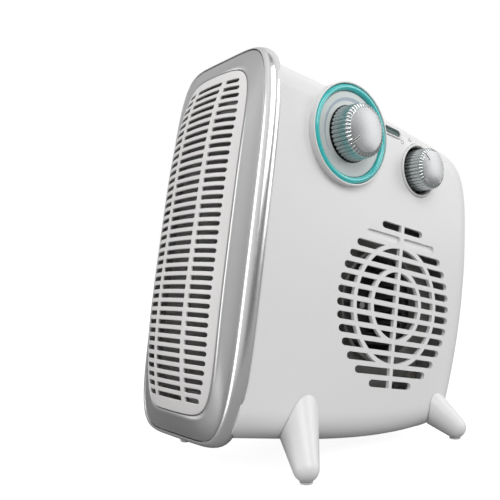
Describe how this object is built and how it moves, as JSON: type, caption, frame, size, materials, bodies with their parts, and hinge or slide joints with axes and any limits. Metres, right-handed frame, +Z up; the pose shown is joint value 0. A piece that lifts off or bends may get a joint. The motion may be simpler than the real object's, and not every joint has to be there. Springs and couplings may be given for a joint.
{
  "type": "ceramic fan heater",
  "caption": "Compact upright fan heater: white housing leaning back on splayed legs, tall slotted outlet in a silver surround, side intake, thermostat dial and mode knob.",
  "frame": {"origin": "on the ground, under the middle of the bounding box", "axes": "+Z up; the air outlet faces -Y; the knobs and the intake face +X"},
  "size_m": [0.1418, 0.238, 0.2557],
  "materials": {
    "white_plastic": "smooth satin to gloss white",
    "polished_silver": "polished silver plating on plastic",
    "satin_silver": "satin silver lacquer on plastic",
    "aqua_plastic": "glossy translucent aqua",
    "grey_plate": "light grey satin, printed scale",
    "knob_silver": "silver plated plastic, brushed face",
    "dark_plastic": "dark grey",
    "teal_glass": "clear dark teal acrylic",
    "lamp_glass": "clear neon lamp",
    "black_plastic": "black",
    "steel": "zinc plated",
    "lamination": "laminated electrical steel",
    "copper": "enamelled copper winding",
    "brass": "turned brass",
    "aluminium": "bare",
    "ceramic": "unglazed",
    "heat_plastic": "heat resistant moulding",
    "rubber": "matte dark grey"
  },
  "bodies": {
    "heater": {"housing_right": "white_plastic", "housing_left": "white_plastic", "front_grille": "white_plastic", "dial_bezel": "white_plastic", "mode_bezel": "white_plastic", "window_bezel": "white_plastic", "leg_front_right": "white_plastic", "leg_front_left": "white_plastic", "leg_rear_right": "white_plastic", "leg_rear_left": "white_plastic", "front_band": "polished_silver", "front_frame": "satin_silver", "dial_ring": "aqua_plastic", "dial_plate": "grey_plate", "mode_well": "dark_plastic", "window_lens": "teal_glass", "pilot_lamp": "lamp_glass", "thermostat_nut": "steel", "thermostat_body": "heat_plastic", "scroll_casing": "heat_plastic", "scroll_cover": "heat_plastic", "air_duct": "heat_plastic", "heater_frame": "heat_plastic", "mode_switch_body": "black_plastic", "thermal_cutout": "black_plastic", "tilt_switch_cradle": "black_plastic", "motor_bracket_inner": "aluminium", "motor_bracket_outer": "aluminium", "thermal_fuse": "aluminium", "motor_stator": "lamination", "motor_coil": "copper", "terminal_block": "ceramic", "cord_inlet": "rubber", "ceramic_bar_1": "ceramic", "ceramic_bar_2": "ceramic", "ceramic_bar_3": "ceramic", "fin_block_1": "aluminium", "housing_screw_1": "steel", "fin_block_2": "aluminium", "housing_screw_2": "steel", "fin_block_3": "aluminium", "housing_screw_3": "steel", "fin_block_4": "aluminium", "housing_screw_4": "steel", "leg_screw_front_right": "steel", "foot_pad_front_right": "rubber", "leg_screw_front_left": "steel", "foot_pad_front_left": "rubber", "leg_screw_rear_right": "steel", "foot_pad_rear_right": "rubber", "leg_screw_rear_left": "steel", "foot_pad_rear_left": "rubber"},
    "thermostat": {"thermostat_knob": "knob_silver", "thermostat_shaft": "brass"},
    "mode_selector": {"mode_knob": "knob_silver", "mode_shaft": "brass"},
    "rotor": {"fan_wheel": "dark_plastic", "motor_rotor": "aluminium", "motor_shaft": "steel"},
    "tilt_bob": {"tilt_switch_bob": "brass"}
  },
  "joints": [
    {"name": "thermostat_turn", "type": "hinge", "parent": "heater", "child": "thermostat", "pos_m": [0.06, -0.01474, 0.20415], "axis": [-1, 0, 0], "range_deg": [0, 270]},
    {"name": "mode_turn", "type": "hinge", "parent": "heater", "child": "mode_selector", "pos_m": [0.05, 0.0562, 0.18727], "axis": [-1, 0, 0], "range_deg": [0, 98]},
    {"name": "fan_spin", "type": "hinge", "parent": "heater", "child": "rotor", "pos_m": [0, 0.02756, 0.09393], "axis": [1, 0, 0], "continuous": true},
    {"name": "tilt_swing", "type": "hinge", "parent": "heater", "child": "tilt_bob", "pos_m": [0, -0.01892, 0.03764], "axis": [1, 0, 0], "range_deg": [-25, 25]}
  ]
}
